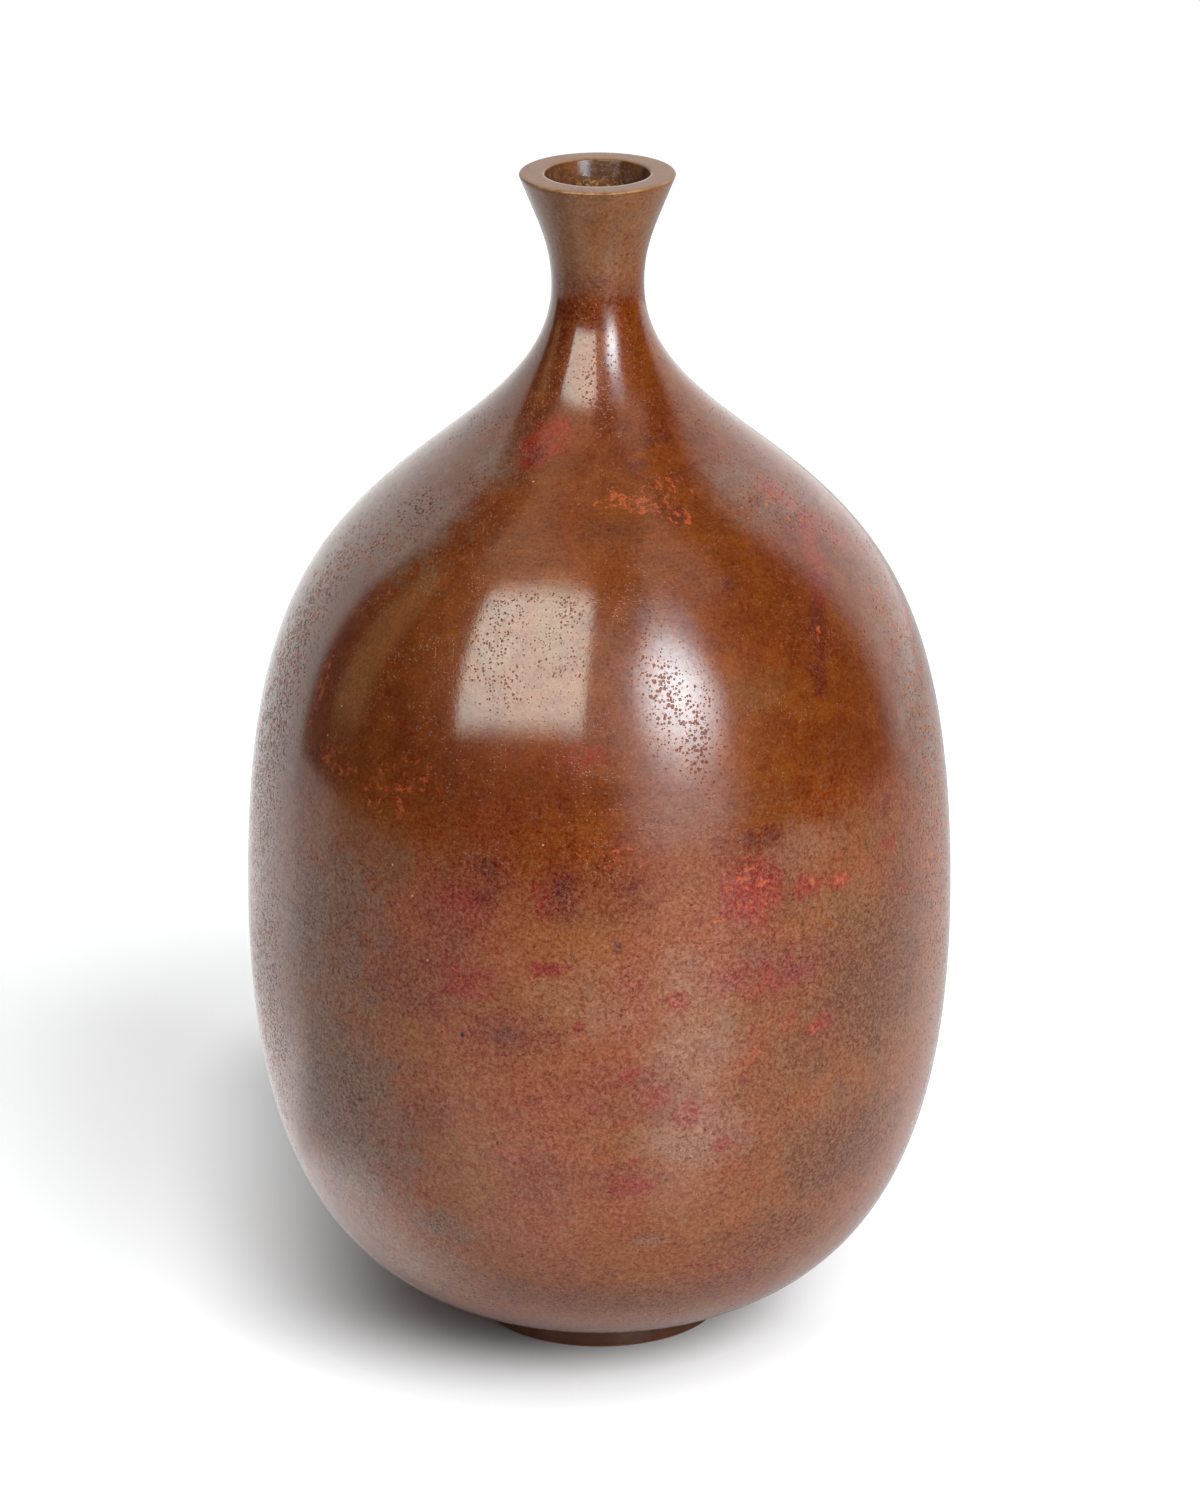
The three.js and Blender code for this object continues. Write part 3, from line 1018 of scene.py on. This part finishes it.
# Pale nicks: fresh metal, painted light enough to be glints too
PALE_NICKS_AND_GLINTS = ((-51, 162), (-53, 155), (-31, 126), (-28, 112), (-24, 209), (-80, 188), (-35, 132), (-9, 141))
DARK_NICKS = ((11, 62), (74, 214), (-66, 186), (40, 118), (-22, 96), (-58, 100), (6, 176))
PALE_NICK_AND_GLINT_WIDTH = 0.6
DARK_NICK_WIDTH = 1.2


def spots(tree, place, where, size):
    """Small round spots at (angle, height) places on the skin, of a size in millimetres."""
    shown = 0.0
    half = size / 2000
    for spot in where:
        centre = tuple(spot_on_skin(*spot)[0])
        away = node(tree, "VectorMath", {0: place, 1: centre}, output="Value", operation="DISTANCE")
        shown = largest(tree, shown, ramp(tree, away, half, half / 2))
    return shown


def thin_line(tree, place, stops, wide):
    """A line through (angle, height) stops on the skin, of a width in millimetres."""
    ends = [Vector(spot_on_skin(*stop)[0]) for stop in stops]
    shown = 0.0
    half = wide / 2000
    for start, end in zip(ends, ends[1:]):
        away = off_line(tree, place, start, end)
        shown = largest(tree, shown, ramp(tree, away, half, half / 3))
    return shown


def with_lines_nicks_and_glints(tree, place, ground):
    """The ground's colour with tide lines, dark nicks and pale nicks over it, the pale ones also painted
    glints.
    """
    wander = {"Vector": place, "Scale": WANDERS_PER_METRE}
    wander = node(tree, "TexNoise", wander, output="Color")
    wander = node(tree, "VectorMath", {0: wander, 1: (0.5, 0.5, 0.5)}, operation="SUBTRACT")
    wandered = {0: wander, 1: (TIDE_WANDER,) * 3, 2: place}
    wandered = node(tree, "VectorMath", wandered, operation="MULTIPLY_ADD")
    for stops in TIDE_LINES:
        line = product(tree, thin_line(tree, wandered, stops, TIDE_WIDTH), TIDE_STRENGTH)
        ground = blend(tree, line, ground, colour(146, 58, 32))
    ground = blend(tree, spots(tree, place, DARK_NICKS, DARK_NICK_WIDTH), ground, colour(56, 26, 18))
    # The pale nicks are fresh metal painted light enough to be glints too, a painted highlight
    return blend(tree, spots(tree, place, PALE_NICKS_AND_GLINTS, PALE_NICK_AND_GLINT_WIDTH), ground, colour(170, 140, 112))


print(len(TIDE_LINES), "tide lines and", len(PALE_NICKS_AND_GLINTS) + len(DARK_NICKS), "nicks")

# %% [markdown]
# Pits break the wax everywhere, which shows most where a lamp is mirrored. They are fine on the
# front and coarse at the sides of the belly. On the shoulder and across the belly the lathe left
# level lines that the polish didn't take away. The lines make the brown lighter and darker by a
# share of itself, so they keep its hue.

# %% Pit the wax, and draw the grain and the turning lines
PIT_BY_CLUSTER = 0.4
PIT_BY_CHANCE = 0.45
PIT_LEAST = -0.26
PIT_UNEVEN = 0.3
PIT_EDGE = (-0.05, 0.08)
WORM_WIDTH = (0.06, 0.0)
LINES_SHOW = (((0.176, 0.19), (0.214, 0.2)), ((0.138, 0.144), (0.156, 0.15)))
LINE_SPACING = 0.4
LONG_WAY_ROUND = (0.03, 0.03, 1)


def pits_in(tree, place, clusters, spacing):
    """Round pits a spacing in millimetres apart, more and larger ones where clusters is high."""
    wander = noise(tree, place, 0.6 * spacing, detail=2)
    cells = tree.nodes.new("ShaderNodeTexVoronoi")
    tree.links.new(place, cells.inputs["Vector"])
    cells.inputs["Scale"].default_value = 1000 / spacing
    lot, _, _ = coordinates(tree, cells.outputs["Color"])
    size = scaled(tree, clusters, PIT_BY_CLUSTER, scaled(tree, lot, PIT_BY_CHANCE, PIT_LEAST))
    size = maths(tree, "ADD", size, scaled(tree, wander, PIT_UNEVEN, -PIT_UNEVEN / 2))
    return ramp(tree, maths(tree, "SUBTRACT", size, cells.outputs["Distance"]), *PIT_EDGE)


def worm_lines(tree, place, size):
    """Fine wandering lines, from 0 to 1, like the grain of leather."""
    wave = noise(tree, place, size, detail=2, roughness=0.6, distortion=1.0)
    off_middle = maths(tree, "ABSOLUTE", maths(tree, "SUBTRACT", wave, 0.5))
    return ramp(tree, off_middle, *WORM_WIDTH)


def turning_lines(tree, place, height):
    """Level lines, lighter and darker round 0, at the heights where they show."""
    squeezed = node(tree, "VectorMath", {0: place, 1: LONG_WAY_ROUND}, operation="MULTIPLY")
    lines = maths(tree, "SUBTRACT", noise(tree, squeezed, LINE_SPACING, detail=2, roughness=0.6), 0.5)
    shown = [product(tree, ramp(tree, height, *low), ramp(tree, height, *high)) for low, high in LINES_SHOW]
    return product(tree, largest(tree, *shown), lines)


print("turning lines every", LINE_SPACING, "mm in", len(LINES_SHOW), "bands")

# %% [markdown]
# The lip's flat top has lost some of its wax, so it is a duller grey-brown. Hands have rubbed its outer
# edge down to paler metal in places, and towards the front that pale edge grows into a painted glint. Its
# inner edge carries a painted highlight, paler all round and near white in front.
# The bore is as rough as it came out of the mould, dark brown, with golden specks of bare metal
# lower down.

# %% Finish the lip and the bore
LIP_TOP = (0.2693, 0.2698, 0.0, 0.6)
EDGE_TOP = (0.2695, 0.2698)
OUTER_EDGE = (0.0168, 0.0171)
# The ramps below paint a highlight on the inner edge and a glint on the outer edge, both strongest in front
INNER_EDGE_GLINT = (0.0121, 0.0118, 0.0, 0.5)
INNER_GLINT_EDGE = (0.0125, 0.012)
RUBBED_AND_GLINT_IN_FRONT = (0.0, -0.014, 0.1, 0.8)
GLINT_IN_FRONT = (0.001, -0.007, 0.0, 0.85)
RUBBED_SPOTS = (0.4, 0.62)
GOLDEN_SPECKS = (0.5, 0.64)
GOLDEN_DEPTH = (0.2668, 0.2634, 0.15, 0.85)


def with_rubbed_lip_and_glints(tree, place, height, mottle, ground):
    """The ground's colour with the lip's dull top, its rubbed outer edge grown into a painted glint in
    front, and a painted highlight on its inner edge.
    """
    away = coordinates(tree, place)[1]
    radius = off_axis(tree, place)
    on_top = ramp(tree, height, *EDGE_TOP)
    worn = product(tree, ramp(tree, away, *RUBBED_AND_GLINT_IN_FRONT), ramp(tree, mottle, *RUBBED_SPOTS))
    outer_edge_and_glint = product(tree, ramp(tree, radius, *OUTER_EDGE), worn)
    # Rubbed paler metal on the outer edge, grown into a painted glint in front, and a painted highlight
    # round the inner edge
    rubbed_and_glinting = product(tree, largest(tree, outer_edge_and_glint, ramp(tree, radius, *INNER_EDGE_GLINT)), on_top)
    # A near-white painted glint on the inner edge in front
    painted_glint = product(tree, ramp(tree, radius, *INNER_GLINT_EDGE), ramp(tree, away, *GLINT_IN_FRONT), on_top)
    ground = blend(tree, ramp(tree, height, *LIP_TOP), ground, colour(126, 86, 56))
    ground = blend(tree, rubbed_and_glinting, ground, colour(164, 128, 84))
    return blend(tree, painted_glint, ground, colour(206, 198, 200))


def bore_colour(tree, height, mottle, grain, deep):
    """Dark casting scale with golden specks."""
    scale = blend(tree, ramp(tree, mottle, *CLOUDS), colour(62, 34, 18), colour(92, 52, 26))
    scale = blend(tree, deep, scale, colour(48, 32, 22))
    golden = product(tree, ramp(tree, grain, *GOLDEN_SPECKS), ramp(tree, height, *GOLDEN_DEPTH))
    return blend(tree, golden, scale, colour(168, 120, 60))


print("the lip's top starts at", LIP_TOP[0], "m")

# %% [markdown]
# All of it comes together in one material, because the casting is one piece. The grain adds or
# takes a little ash brown, strongest on the lower belly and on the flare. The wax is thinner in
# the grain, in the pits and on the lip, and inside there is little of it and none deep down.

# %% Grain the ground
ASH = (0.22, 0.135, 0.09)
BLACKEST = (0.001, 0.001, 0.001)
WORM_SIZE = 1.5
MIDDLE_OF_GRAIN = -0.545
ASH_BY_MOTTLE = 0.15
ASH_BY_WORMS = -0.16
ASH_EVERYWHERE = 0.42
ASH_IN_HAZE = 0.45
ASH_LOW_DOWN = 0.95
ASH_ON_FLARE = (0.225, 0.245, 0.0, 0.35)


def grained(tree, place, height, low, haze, grain, mottle, ground):
    """The ground's colour with ash brown added and taken by the grain."""
    swing = maths(tree, "ADD", scaled(tree, mottle, ASH_BY_MOTTLE, MIDDLE_OF_GRAIN), grain)
    swing = scaled(tree, worm_lines(tree, place, WORM_SIZE), ASH_BY_WORMS, swing)
    share = scaled(tree, largest(tree, haze, layer_of(tree, "pale_and_sheen")), ASH_IN_HAZE, ASH_EVERYWHERE)
    share = maths(tree, "ADD", share, ramp(tree, height, *ASH_ON_FLARE))
    swing = product(tree, swing, scaled(tree, low, ASH_LOW_DOWN, share))
    ash = node(tree, "VectorMath", {0: ASH, "Scale": swing}, operation="SCALE")
    ground = node(tree, "VectorMath", {0: ground, 1: ash}, operation="ADD")
    return node(tree, "VectorMath", {0: ground, 1: BLACKEST}, operation="MAXIMUM")


print("the grain swings by", ASH, "at most")

# %% Thin the wax
WAX = 0.78
WAX_SWING = 0.8
WAX_SWING_LOW_DOWN = 0.6
WAX_BY_GRAIN = 0.7
WAX_BY_MOTTLE = 0.3
WAX_BY_LINES = -0.25
LIP_LOSS = -0.4
LIP_THINS = (0.2688, 0.2696)
FLARE_LOSS = -0.1
FLARE_THINS = (0.247, 0.257)
PIT_LOSS = 0.75
PIT_LOSS_IN_HAZE = 0.25
PIT_LOSS_LOW_DOWN = -0.3


def wax_thickness(tree, height, low, haze, grain, mottle, lined, pits):
    """How much clear wax lies on the outside."""
    uneven = scaled(tree, grain, WAX_BY_GRAIN, product(tree, mottle, WAX_BY_MOTTLE))
    uneven = maths(tree, "SUBTRACT", uneven, 0.5)
    thickness = scaled(tree, uneven, scaled(tree, low, WAX_SWING_LOW_DOWN, WAX_SWING), WAX)
    thickness = scaled(tree, lined, WAX_BY_LINES, thickness)
    thickness = scaled(tree, ramp(tree, height, *LIP_THINS), LIP_LOSS, thickness)
    thickness = scaled(tree, ramp(tree, height, *FLARE_THINS), FLARE_LOSS, thickness)
    lost = scaled(tree, low, PIT_LOSS_LOW_DOWN, scaled(tree, haze, PIT_LOSS_IN_HAZE, PIT_LOSS))
    return product(tree, thickness, maths(tree, "SUBTRACT", 1.0, product(tree, lost, pits)))


print("a pit takes up to", PIT_LOSS + PIT_LOSS_IN_HAZE, "of the wax")

# %% Scatter fine and coarse pits
PATCHES = (0.4, 0.7)
PATCH_IN_LARGE = 0.6
PATCH_IN_SMALL = 0.35
HAZE_IN_SMALL = 0.45
LARGE_PIT_SPACING = 0.8
SMALL_PIT_SPACING = 0.65
COARSE_PIT_SPACING = 1.5
COARSE_FROM = (0.1, 0.5)
COARSE_DEPTH = 0.65


def fine_and_coarse_pits(tree, place, haze):
    """Where the fine pits and the coarse pits are, from 0 to 1."""
    pitted = layer_of(tree, "pitted")
    coarse = layer_of(tree, "coarse")
    patchy = ramp(tree, noise(tree, place, size=10, detail=3), *PATCHES)
    clusters = largest(tree, product(tree, patchy, PATCH_IN_LARGE), pitted)
    sparse = product(tree, patchy, PATCH_IN_SMALL)
    density = scaled(tree, largest(tree, haze, pitted), HAZE_IN_SMALL, sparse)
    large = pits_in(tree, place, clusters, LARGE_PIT_SPACING)
    small = pits_in(tree, place, density, SMALL_PIT_SPACING)
    at_sides = pits_in(tree, place, coarse, COARSE_PIT_SPACING)
    return largest(tree, large, small), product(tree, at_sides, ramp(tree, coarse, *COARSE_FROM))


print("pits every", SMALL_PIT_SPACING, "to", COARSE_PIT_SPACING, "mm")

# %% Put the patinated bronze together
LOW_BELLY = (0.158, 0.118)
DEEP_IN_BORE = (0.246, 0.225)
LINES_IN_GROUND = -0.55
FINE_PIT_TINT = 0.75
COARSE_PIT_TINT = 0.8
SATIN = 0.30
SATIN_BY_GRAIN = 0.16
SATIN_IN_PITS = 0.25
ROUGHER_INSIDE = 0.25
RELIEF_OF_GRAIN = 0.6
RELIEF_OF_PITS = -3.0
RELIEF_OF_LINES = 0.3
RELIEF_INSIDE = 4.0
INNER_WAX = 0.5


def patinated_bronze():
    """The whole casting: ground, stains, wax, pits, lines and fine relief, and its rough inside."""
    material, tree, surface, place = new_finish("patinated_bronze")
    height = coordinates(tree, place)[2]
    low = ramp(tree, height, *LOW_BELLY)
    deep = ramp(tree, height, *DEEP_IN_BORE)
    haze = layer_of(tree, "haze")
    inside = layer_of(tree, "inside")
    grain = noise(tree, place, size=0.8, detail=3, roughness=0.65, distortion=0.5)
    mottle = noise(tree, place, size=3.5, detail=3, roughness=0.6)
    lined = turning_lines(tree, place, height)
    fine, coarse = fine_and_coarse_pits(tree, place, haze)
    pits = largest(tree, fine, product(tree, coarse, COARSE_DEPTH))

    ground = patina_colour(tree, place, height, low)
    ground = with_lines_nicks_and_glints(tree, place, ground)
    ground = shaded(tree, ground, scaled(tree, lined, LINES_IN_GROUND, 1.0))
    ground = blend(tree, product(tree, fine, FINE_PIT_TINT), ground, colour(94, 42, 20))
    ground = blend(tree, product(tree, coarse, COARSE_PIT_TINT), ground, colour(158, 86, 52))
    ground = grained(tree, place, height, low, haze, grain, mottle, ground)
    ground = with_rubbed_lip_and_glints(tree, place, height, mottle, ground)
    ground = blend(tree, inside, ground, bore_colour(tree, height, mottle, grain, deep))

    wax = wax_thickness(tree, height, low, haze, grain, mottle, lined, pits)
    wax = product(tree, wax, maths(tree, "SUBTRACT", 1.0, inside))
    wax = scaled(tree, scaled(tree, deep, -INNER_WAX, INNER_WAX), inside, wax)
    satin = scaled(tree, pits, SATIN_IN_PITS, scaled(tree, grain, SATIN_BY_GRAIN, SATIN))
    relief = scaled(tree, pits, RELIEF_OF_PITS, product(tree, grain, RELIEF_OF_GRAIN))
    relief = scaled(tree, lined, RELIEF_OF_LINES, relief)
    relief = scaled(tree, product(tree, mottle, RELIEF_INSIDE), inside, relief)
    skin_relief = bumped(tree, relief, strength=0.35, distance=0.00006)
    fill_inputs(tree, surface, {
        "Base Color": ground,
        "Roughness": scaled(tree, inside, ROUGHER_INSIDE, satin),
        "Metallic": 0.12,
        "Specular IOR Level": 0.1,
        "Normal": skin_relief,
        "Coat Weight": wax,
        "Coat Roughness": 0.1,
        "Coat IOR": 1.6,
        "Coat Normal": skin_relief,
    })
    return material


body.data.materials.append(patinated_bronze())
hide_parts("body_shell")
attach(body, "root")
print("nodes in the patina:", len(body.data.materials[0].node_tree.nodes))

# %% [markdown]
# ## The foot ring
# The ring was turned from bar and brazed in, and it was patinated darker than the body. Its band
# is only four millimetres high, so what tells it from the body is a plain dark brown, the fine
# grooves that the turning tool left round it, and an edge rubbed paler where it stands.

# %% Turn the foot ring
RING_STEPS = 256
RING_WORN = (0.0007, 0.0002, 0.0, 0.5)
MARK_SPACING = 0.35

# How much the tool marks count in the colour and the roughness, and what these are without marks
MARKS_IN_COLOUR = (0.7, 0.65)
MARKS_IN_ROUGHNESS = (0.2, 0.32)


def grooves(tree, place, spacing):
    """Fine uneven lines round the upright axis, at all heights and radii, from 0 to 1."""
    height = coordinates(tree, place)[2]
    flat = node(tree, "CombineXYZ", {0: off_axis(tree, place), 1: height, 2: 0.0})
    return noise(tree, flat, spacing, detail=2, roughness=0.6)


def turned_dark_bronze():
    """Dark brown turned bronze with tool marks and paler rubbed edges."""
    material, tree, surface, place = new_finish("turned_dark_bronze")
    height = coordinates(tree, place)[2]
    cloud = ramp(tree, noise(tree, place, size=6, detail=4, roughness=0.65), *CLOUDS)
    ground = blend(tree, cloud, colour(74, 38, 18), colour(96, 52, 26))
    marks = grooves(tree, place, MARK_SPACING)
    ground = shaded(tree, ground, scaled(tree, marks, *MARKS_IN_COLOUR))
    worn = ramp(tree, height, *RING_WORN)
    fill_inputs(tree, surface, {
        "Base Color": blend(tree, worn, ground, colour(150, 96, 52)),
        "Roughness": scaled(tree, marks, *MARKS_IN_ROUGHNESS),
        "Metallic": 0.25,
        "Normal": bumped(tree, marks, strength=0.5, distance=0.00005),
        "Coat Weight": 0.15,
        "Coat Roughness": 0.25,
    })
    return material


def turned_piece(piece_name, node_name, material):
    """Spins a CAD node's own outline finely and puts it in the node's place."""
    outline, closed = section_of(node_name)
    smooth, _ = faired(outline, closed, [PIECE_SPACING], PIECE_EDGE)
    piece = turned(piece_name, smooth, closed, RING_STEPS)
    piece.data.materials.append(material)
    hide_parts(node_name)
    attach(piece, "root")
    print(piece_name, len(piece.data.vertices), "points")


turned_piece("turned_foot", "foot_ring", turned_dark_bronze())

# %% [markdown]
# ## The closing plate
# A round plate closes the hole that the casting core came out of. It was cut from sheet and
# faced on the lathe, which leaves rings round its centre, and it is never polished, as nobody
# sees it. A dull brown with darker blotches and no wax suits it.

# %% Set the closing plate
FACING_SPACING = 0.5
BLOTCHES = (0.4, 0.62)
FACING_IN_COLOUR = (0.8, 0.6)
BLOTCHES_IN_ROUGHNESS = (0.2, 0.45)


def faced_plate():
    """Dull brown sheet with facing rings and dark blotches."""
    material, tree, surface, place = new_finish("faced_plate")
    rings = grooves(tree, place, FACING_SPACING)
    blotch = ramp(tree, noise(tree, place, size=7, detail=5, roughness=0.7), *BLOTCHES)
    ground = blend(tree, blotch, colour(112, 68, 40), colour(70, 42, 26))
    fill_inputs(tree, surface, {
        "Base Color": shaded(tree, ground, scaled(tree, rings, *FACING_IN_COLOUR)),
        "Roughness": scaled(tree, blotch, *BLOTCHES_IN_ROUGHNESS),
        "Metallic": 0.35,
        "Normal": bumped(tree, rings, strength=0.6, distance=0.0001),
    })
    return material


turned_piece("closing_plate", "base_plate", faced_plate())

# %% [markdown]
# ## The brazed fillets
# Brazing metal was run into the two corners that hold the ring and the plate. It flows and
# freezes in small ripples, it is yellower than bronze, and the flame leaves dark scale on it.

# %% Run the fillets
FLAME_SCALE = (0.42, 0.6)
RIPPLES_IN_COLOUR = (0.5, 0.75)
SCALE_IN_ROUGHNESS = (0.3, 0.38)


def brazed_fillet():
    """Yellow brazing metal with frozen ripples and dark flame scale."""
    material, tree, surface, place = new_finish("brazed_fillet")
    ripples = noise(tree, place, size=1.6, detail=2, roughness=0.5, distortion=0.8)
    burnt = ramp(tree, noise(tree, place, size=5, detail=5, roughness=0.7), *FLAME_SCALE)
    ground = blend(tree, burnt, colour(164, 122, 58), colour(82, 54, 30))
    fill_inputs(tree, surface, {
        "Base Color": shaded(tree, ground, scaled(tree, ripples, *RIPPLES_IN_COLOUR)),
        "Roughness": scaled(tree, burnt, *SCALE_IN_ROUGHNESS),
        "Metallic": 0.5,
        "Normal": bumped(tree, ripples, strength=0.7, distance=0.0002),
    })
    return material


fillet_metal = brazed_fillet()
turned_piece("foot_fillet", "foot_braze", fillet_metal)
turned_piece("plate_fillet", "plate_braze", fillet_metal)
